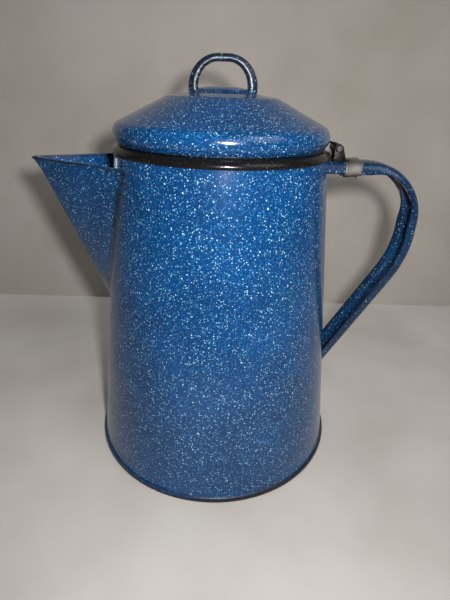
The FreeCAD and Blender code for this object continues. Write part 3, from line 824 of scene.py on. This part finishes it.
def strap_path(corners, run_steps, bend_steps):
    """Places along a bent strap: (point, inward side, share of the bend it is in, which bend)."""
    line = [Vector(corner[:2]) for corner in corners]
    places = []
    here = line[0]
    for number in range(1, len(line) - 1):
        corner = line[number]
        radius = corners[number][2]
        back = (line[number - 1] - corner).normalized()
        ahead = (line[number + 1] - corner).normalized()
        half = back.angle(ahead) / 2
        start = corner + back * (radius / math.tan(half))
        end = corner + ahead * (radius / math.tan(half))
        centre = corner + (back + ahead).normalized() * (radius / math.sin(half))
        side = (centre - start).normalized()
        places += [(here.lerp(start, step / run_steps), side, 0.0, number) for step in range(run_steps)]
        for step in range(bend_steps + 1):
            spoke = (start - centre).slerp(end - centre, step / bend_steps)
            places.append((centre + spoke * radius, -spoke, step / bend_steps, number))
        here = end
        last = (centre - end).normalized()
    places += [(here.lerp(line[-1], step / run_steps), last, 0.0, 0) for step in range(1, run_steps + 1)]
    return places


def channel_section(width, depth, sheet, crown, steps=4):
    """Closed section of a pressed channel: (across, depth below the crown)."""
    half = width / 2
    inner = half - sheet
    outside = [(-half, depth), (-half, 0, crown), (half, 0, crown), (half, depth)]
    hollow = max(crown - sheet, sheet * 0.5)
    inside = [(inner, depth), (inner, sheet, hollow), (-inner, sheet, hollow), (-inner, depth)]
    return rounded(outside, steps) + rounded(inside, steps)


def curled_section(width, depth, sheet, steps=4):
    """Closed section of a strap whose edges curl in to a slot: (across, depth below the crown)."""
    half = width / 2
    inner = half - sheet
    slot = width * 0.16
    crown = depth * 0.55
    lip = depth * 0.34
    outside = [
        (-slot, depth),
        (-half, depth, lip),
        (-half, 0, crown),
        (half, 0, crown),
        (half, depth, lip),
        (slot, depth),
    ]
    under = depth - sheet
    hollow = (depth - 2 * sheet) * 0.45
    inside = [
        (slot, under),
        (inner, under, hollow),
        (inner, sheet, hollow),
        (-inner, sheet, hollow),
        (-inner, under, hollow),
        (-slot, under),
    ]
    return rounded(outside, steps) + rounded(inside, steps)


def pressed_strap(places, width, depth_at, section_at):
    """Strap along the places, with its open side inwards."""
    rows = []
    for point, side, share, number in places:
        row = []
        for across, deep in section_at(width, depth_at(share, number)):
            row.append(Vector((point.x + side.x * deep, across, point.y + side.y * deep)))
        rows.append(row)
    return drawn(rows, closed=True, capped=True)


def pot_core(inset):
    """The pot's outside as a solid, a little inside the wall's face."""
    top = RIM_HEIGHT
    profile = [(0, 0), (BASE_RADIUS - inset, 0), (wall_radius(top) - inset, top), (0, top)]
    return turned(profile, steps=CORE_STEPS)


def handle():
    """Strap handle pressed to a channel, open towards the pot."""
    foot = Vector((wall_radius(HANDLE_FOOT), HANDLE_FOOT))
    knee = Vector((HANDLE_REACH, HANDLE_KNEE))
    end = foot + (foot - knee).normalized() * HANDLE_INTO_WALL_FOOT
    corners = [
        (wall_radius(HANDLE_TOP) - HANDLE_INTO_WALL_TOP, HANDLE_TOP),
        (HANDLE_REACH, HANDLE_TOP, HANDLE_TOP_BEND),
        (knee.x, knee.y, HANDLE_KNEE_BEND),
        (end.x, end.y),
    ]

    def depth(share, number):
        pinch = math.sin(math.pi * share) if number == 1 else 0.0
        return HANDLE_DEPTH - (HANDLE_DEPTH - HANDLE_THROAT_DEPTH) * pinch

    def section(width, deep):
        return channel_section(width, deep, HANDLE_SHEET, HANDLE_CROWN)

    places = strap_path(corners, run_steps=10, bend_steps=26)
    strap = pressed_strap(places, HANDLE_WIDTH, depth, section)
    eased(strap, 0.35 * MM)
    strap = cut(strap, pot_core(WALL * 0.5))
    flange = HANDLE_WIDTH / 2
    line = [(point, side, depth(share, number)) for point, side, share, number in places]

    def edge(place):
        flat = Vector((place.x, place.z))
        point, side, deep = min(line, key=lambda spot: (spot[0] - flat).length_squared)
        below = (flat - point).dot(side)
        rim = 1 - (deep - below) / (1.3 * MM)
        crown = 0.35 if abs(place.y) > flange - 1.5 * MM and below < 1.2 * MM else 0.0
        return max(rim * 0.75, crown)

    piece("handle_strap", wear_and_shade_mark(strap, edge), "pot", HANDLE_BLUE, "handle")


# ---------------------------------------------------------------- the lid


def lid_skin():
    """The lid's outside from the crown down: domed boss, crease, shoulder, long slope, bulge, tuck."""
    crown = LID_HIGH.z
    corners = [(0, crown)]
    corners += [(across, crown - drop, bend) for across, drop, bend in LID_TOP]
    corners += [(LID_RADIUS + past, LID_EDGE + rise, bend) for past, rise, bend in LID_BULGE]
    corners.append((LID_RADIUS - LID_TUCK, LID_EDGE))
    return rounded(corners, steps=9)


def lid_core():
    """Solid under the top of the lid, half a sheet inside its skin."""
    floor = LID_EDGE + 12 * MM
    middle = [(across, up - LID_SHEET / 2) for across, up in lid_skin()]
    top = [(across, up) for across, up in middle if up > floor + 2 * MM]
    return turned([(0, floor), (top[-1][0], floor)] + top[::-1], steps=CORE_STEPS)


def lid_shell():
    """Pressed lid, darkened along its lower edge with painted shade of the gap above the rim."""
    shell = turned(lid_skin())
    thickened(shell, LID_SHEET)
    eased(shell, 0.3 * MM)

    def edge(place):
        # Painted shade: darkens the lowest 1.3 mm of the lid, in the gap over the rolled rim.
        return (1 - (place.z - LID_EDGE) / (1.3 * MM)) * 0.8

    piece("lid_cover", wear_and_shade_mark(shell, edge), "lid", BLUE, "lid_shell")


def lid_collar():
    """Collar that drops into the mouth, joined to the lid's tucked edge."""
    low = COLLAR_LOW.z
    out = COLLAR_RADIUS
    rim = COLLAR_HIGH.x
    section = rounded(
        [
            (out - 1.0 * MM, low + 0.3 * MM, 0.3 * MM),
            (out - 0.2 * MM, low),
            (out, low + 0.5 * MM, 0.5 * MM),
            (out, LID_EDGE, COLLAR_SHEET),
            (rim, LID_EDGE + 0.1 * MM),
            (rim, LID_EDGE + COLLAR_SHEET),
            (out - COLLAR_SHEET, LID_EDGE + COLLAR_SHEET, COLLAR_SHEET),
            (out - COLLAR_SHEET, low + 0.5 * MM),
        ],
        steps=4,
    )
    piece("lid_collar_ring", turned(section, closed=True), "lid", NAVY, "lid_collar")


def lid_loop():
    """Strap loop with its edges curled in, deeper in its legs than across its top."""
    half = LOOP_HIGH.x
    top = LOOP_HIGH.z
    corners = [(-half, LOOP_FOOT), (-half, top, LOOP_BEND), (half, top, LOOP_BEND), (half, LOOP_FOOT)]

    def depth(share, number):
        if share == 0.0:
            return LOOP_LEG_DEPTH if number != 2 else LOOP_TOP_DEPTH
        eased_share = share * share * (3 - 2 * share)
        towards_top = eased_share if number == 1 else 1 - eased_share
        return LOOP_LEG_DEPTH + (LOOP_TOP_DEPTH - LOOP_LEG_DEPTH) * towards_top

    def section(width, deep):
        return curled_section(width, deep, LOOP_SHEET)

    places = strap_path(corners, run_steps=6, bend_steps=16)
    strap = pressed_strap(places, LOOP_HIGH.y - LOOP_LOW.y, depth, section)
    eased(strap, 0.3 * MM)
    strap = cut(strap, lid_core())

    def edge(place):
        # Painted contact shade: darkens the legs over their lowest few millimetres, where they meet the lid.
        return 0.5 * math.exp(-max(place.z - LOOP_FOOT, 0) / (3 * MM))

    piece("lid_loop_strap", wear_and_shade_mark(strap, edge), "lid", NAVY, "lid_loop")


# ---------------------------------------------------------------- the hinge


def curled_leaf():
    """Leaf on the lid's bulge, narrowed to a knuckle curled round the pin."""
    root = Vector((LID_RADIUS - 0.6 * MM, LID_EDGE + 3.7 * MM))
    curl = arc((PIN.x, PIN.z), KNUCKLE_RADIUS, 80, -225, 20)
    line = [root, root.lerp(curl[0], 0.35), root.lerp(curl[0], 0.7)]
    line += curl
    wide = (LEAF_HIGH.y - LEAF_LOW.y) / 2
    rows = []
    for index, spot in enumerate(line):
        share = min(index / 2, 1.0)
        half = wide + (KNUCKLE_HALF - wide) * share
        rows.append([Vector((spot.x, half * side / 3, spot.y)) for side in range(-3, 4)])
    leaf = drawn(rows)
    lead = max(leaf.faces, key=lambda face: face.calc_center_median().x)
    if lead.normal.x < 0:
        bmesh.ops.reverse_faces(leaf, faces=leaf.faces[:])
    thickened(leaf, LEAF_SHEET)
    eased(leaf, 0.25 * MM)
    piece("hinge_leaf_curl", leaf, "lid", LEAF_STEEL, "hinge_leaf")


def pin():
    """Hinge pin with a domed head at each end."""
    long = PIN_HIGH.y
    head = (PIN_HIGH.z - PIN_LOW.z) / 2
    neck = long - PIN_HEAD_THICKNESS
    profile = rounded(
        [
            (0, -long),
            (head, -long, PIN_HEAD_ROUNDING),
            (head, -neck),
            (PIN_SHANK, -neck),
            (PIN_SHANK, neck),
            (head, neck),
            (head, long, PIN_HEAD_ROUNDING),
            (0, long),
        ],
        steps=5,
    )
    rod = turned(profile, steps=28)
    lay = Matrix.Translation(PIN) @ Matrix.Rotation(-math.pi / 2, 4, "X")
    bmesh.ops.transform(rod, matrix=lay, verts=rod.verts)
    piece("hinge_pin_rod", rod, "pot", STEEL, "hinge_pin")


def band():
    """Tin band folded round the handle, a little uneven, its two ends pinched together below."""
    long = CLIP_HIGH.x - BAND_START
    half = HANDLE_WIDTH / 2 + BAND_SHEET
    top = HANDLE_TOP + BAND_SHEET
    low = HANDLE_TOP - HANDLE_DEPTH
    tail = CLIP_LOW.z
    section = rounded(
        [
            (-BAND_PINCH, tail),
            (-BAND_PINCH, low - 0.35 * MM, 1.2 * MM),
            (-half, low - BAND_SHEET, 1.4 * MM),
            (-half, top, HANDLE_CROWN + BAND_SHEET),
            (half, top, HANDLE_CROWN + BAND_SHEET),
            (half, low - BAND_SHEET, 1.4 * MM),
            (BAND_PINCH, low - 0.35 * MM, 1.2 * MM),
            (BAND_PINCH, tail),
        ],
        steps=6,
    )
    rows = []
    for step in range(BAND_STEPS + 1):
        share = step / BAND_STEPS
        row = []
        for across, up in section:
            ragged = 0.35 * MM * math.sin(across * 900) * (2 * share - 1)
            dented = 0.22 * MM * math.sin(share * 7 + across * 420)
            row.append(Vector((BAND_START + long * share + ragged, across, up + dented)))
        rows.append(row)
    strip = drawn(rows)
    crest = max(strip.faces, key=lambda face: face.calc_center_median().z)
    if crest.normal.z < 0:
        bmesh.ops.reverse_faces(strip, faces=strip.faces[:])
    thickened(strip, BAND_SHEET)
    eased(strip, 0.2 * MM)
    piece("tin_band", strip, "pot", TIN, "hinge_clip")


def ears():
    """Two ears curled on the pin, with the plates that carry them down to the handle; the near-black plates
    also stand in for the shade in the gap above the handle's root.
    """
    root = [
        Vector((BAND_START + 2.2 * MM, HANDLE_TOP + BAND_SHEET * 1.1)),
        Vector((BAND_START - 0.4 * MM, HANDLE_TOP + 0.9 * BAND_SHEET)),
    ]
    line = root + arc((PIN.x, PIN.z), EAR_RADIUS, -60, 235, 16)
    outline = [
        (BAND_START + 0.6 * MM, HANDLE_TOP),
        (PIN.x + EAR_RADIUS, PIN.z),
        (PIN.x - EAR_RADIUS, PIN.z),
        (PIN.x - EAR_RADIUS, HANDLE_TOP - 0.4 * MM),
    ]
    parts = []
    for side in (-1, 1):
        middle = side * EAR_MIDDLE
        rows = []
        for spot in line:
            rows.append([Vector((spot.x, middle + EAR_HALF * end / 2, spot.y)) for end in range(-2, 3)])
        ear = drawn(rows)
        lead = min(ear.faces, key=lambda face: face.calc_center_median().x)
        if lead.normal.x > 0:
            bmesh.ops.reverse_faces(ear, faces=ear.faces[:])
        thickened(ear, BAND_SHEET)
        eased(ear, 0.2 * MM)
        end = middle + side * EAR_HALF
        # Near-black plate: partly a real web, partly a dark sheet standing for the shade between the rim,
        # the band and the handle.
        rows = []
        for deep in (0.0, BAND_SHEET):
            rows.append([Vector((across, end - side * deep, up)) for across, up in outline])
        plate = drawn(rows, closed=True, capped=True)
        eased(plate, 0.15 * MM)
        parts += [ear, plate]
    piece("pin_ears", joined(*parts), "pot", LEAF_STEEL, "hinge_clip")


def insert_finish():
    """The pump and basket keep the frame's own drilled shapes, in spun aluminium."""
    for node in INSERT_NODES:
        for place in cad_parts[node].material_slots:
            place.material = ALUMINIUM


pot_wall()
rim_roll()
base_seam()
bottom_disc()
spout()
spout_bead()
handle()
lid_shell()
lid_collar()
lid_loop()
curled_leaf()
pin()
band()
ears()
insert_finish()


# ---------------------------------------------------------------- stage, light and camera

FLOOR_COLOUR = (0.485, 0.466, 0.44)
WALL_COLOUR = (0.485, 0.455, 0.418)
STAIN_SHARES = (0.84, 0.82, 0.8)
PAPER_HALF = 3.0
WALL_BEHIND = 0.17
FLOOR_GAP = 0.0002
ROOM_COLOUR = (0.8, 0.79, 0.77)
ROOM_STRENGTH = 0.1
CAMERA_PLACE = Vector((0, -0.221984, 0.193641))
YAW, PITCH, ROLL = (math.radians(angle) for angle in (1.1767, 26.286, 2.102))
LENS_MM = 25.2
SENSOR_MM = 36
# name, place, point it shines at, width, power in watts, colour
LAMPS = (
    ("key", (0.023, -0.226, 0.213), (0, 0, 0.1), 0.018, 0.86, (1.0, 0.98, 0.955)),
    ("soft_top", (0.45, -0.4, 0.6), (0, 0, 0.08), 0.5, 1.5, (1.0, 0.985, 0.96)),
    ("back_left", (-0.45, 0.8, 0.45), (0, 0, 0.1), 0.8, 2.6, (1.0, 0.99, 0.97)),
    ("back_right", (0.6, 0.6, 0.35), (0, 0, 0.1), 0.6, 1.6, (1.0, 0.99, 0.97)),
)


def paper(name, colour):
    """Matt backdrop paper, clear from its back."""
    made, tree, shader, place = new_material(name, Roughness=0.85)
    cloud = put(tree, "TexNoise", {"Vector": place, "Scale": 14.0, "Detail": 5.0}).outputs[0]
    darker = tuple(part * share for part, share in zip(colour, STAIN_SHARES))
    stained = blended(tree, ramp(tree, cloud, 0.35, 0.7), (*colour, 1), (*darker, 1))
    tree.links.new(stained, shader["Base Color"])
    grain = put(tree, "TexNoise", {"Vector": place, "Scale": 300.0, "Detail": 4.0}).outputs[0]
    bump = put(tree, "Bump", {"Height": grain, "Strength": 0.15, "Distance": 0.0005})
    tree.links.new(bump.outputs[0], shader["Normal"])
    clear = put(tree, "BsdfTransparent")
    back = put(tree, "NewGeometry").outputs["Backfacing"]
    mix = put(tree, "MixShader", {0: back, 2: clear.outputs[0]})
    tree.links.new(tree.nodes["Principled BSDF"].outputs[0], mix.inputs[1])
    tree.links.new(mix.outputs[0], tree.nodes["Material Output"].inputs["Surface"])
    return made


def backdrop(name, material, matrix):
    """Sheet of paper, which lets the light of the lamps behind it through."""
    bm = bmesh.new()
    bmesh.ops.create_grid(bm, x_segments=2, y_segments=2, size=PAPER_HALF, matrix=matrix)
    obj = loose(bm)
    obj.name = name
    obj.data.materials.append(material)
    obj.visible_shadow = False


def lamp(name, place, aim, size, power, colour):
    """Round soft lamp turned towards a point."""
    light = bpy.data.lights.new(name, "AREA")
    light.shape = "DISK"
    light.size = size
    light.energy = power
    light.color = colour
    obj = bpy.data.objects.new(name, light)
    bpy.context.scene.collection.objects.link(obj)
    obj.location = place
    obj.rotation_mode = "QUATERNION"
    obj.rotation_quaternion = (Vector(aim) - Vector(place)).to_track_quat("-Z", "Y")


def make_camera():
    """Camera in front of the pot and a little above it, from its heading, tilt and roll."""
    ahead = Vector((math.sin(YAW) * math.cos(PITCH), math.cos(YAW) * math.cos(PITCH), -math.sin(PITCH)))
    level = Vector((math.cos(YAW), -math.sin(YAW), 0))
    upward = level.cross(ahead)
    right = math.cos(ROLL) * level + math.sin(ROLL) * upward
    top = -math.sin(ROLL) * level + math.cos(ROLL) * upward
    data = bpy.data.cameras.new("camera")
    data.sensor_fit = "VERTICAL"
    data.sensor_height = SENSOR_MM
    data.lens = LENS_MM
    data.clip_start = 0.01
    obj = bpy.data.objects.new("camera", data)
    bpy.context.scene.collection.objects.link(obj)
    turn = Matrix((right, top, -ahead)).transposed().to_4x4()
    turn.translation = CAMERA_PLACE
    obj.matrix_world = turn
    bpy.context.scene.camera = obj


backdrop("floor", paper("floor_paper", FLOOR_COLOUR), Matrix.Translation((0, 0, -FLOOR_GAP)))
upright = Matrix.Translation((0, WALL_BEHIND, 0)) @ Matrix.Rotation(math.pi / 2, 4, "X")
backdrop("back_wall", paper("wall_paper", WALL_COLOUR), upright)
make_camera()
for settings in LAMPS:
    lamp(*settings)

world = bpy.data.worlds.new("room")
bpy.context.scene.world = world
world.use_nodes = True
sky = world.node_tree.nodes["Background"].inputs
sky["Color"].default_value = (*ROOM_COLOUR, 1)
sky["Strength"].default_value = ROOM_STRENGTH
bpy.context.scene.view_settings.view_transform = "Standard"
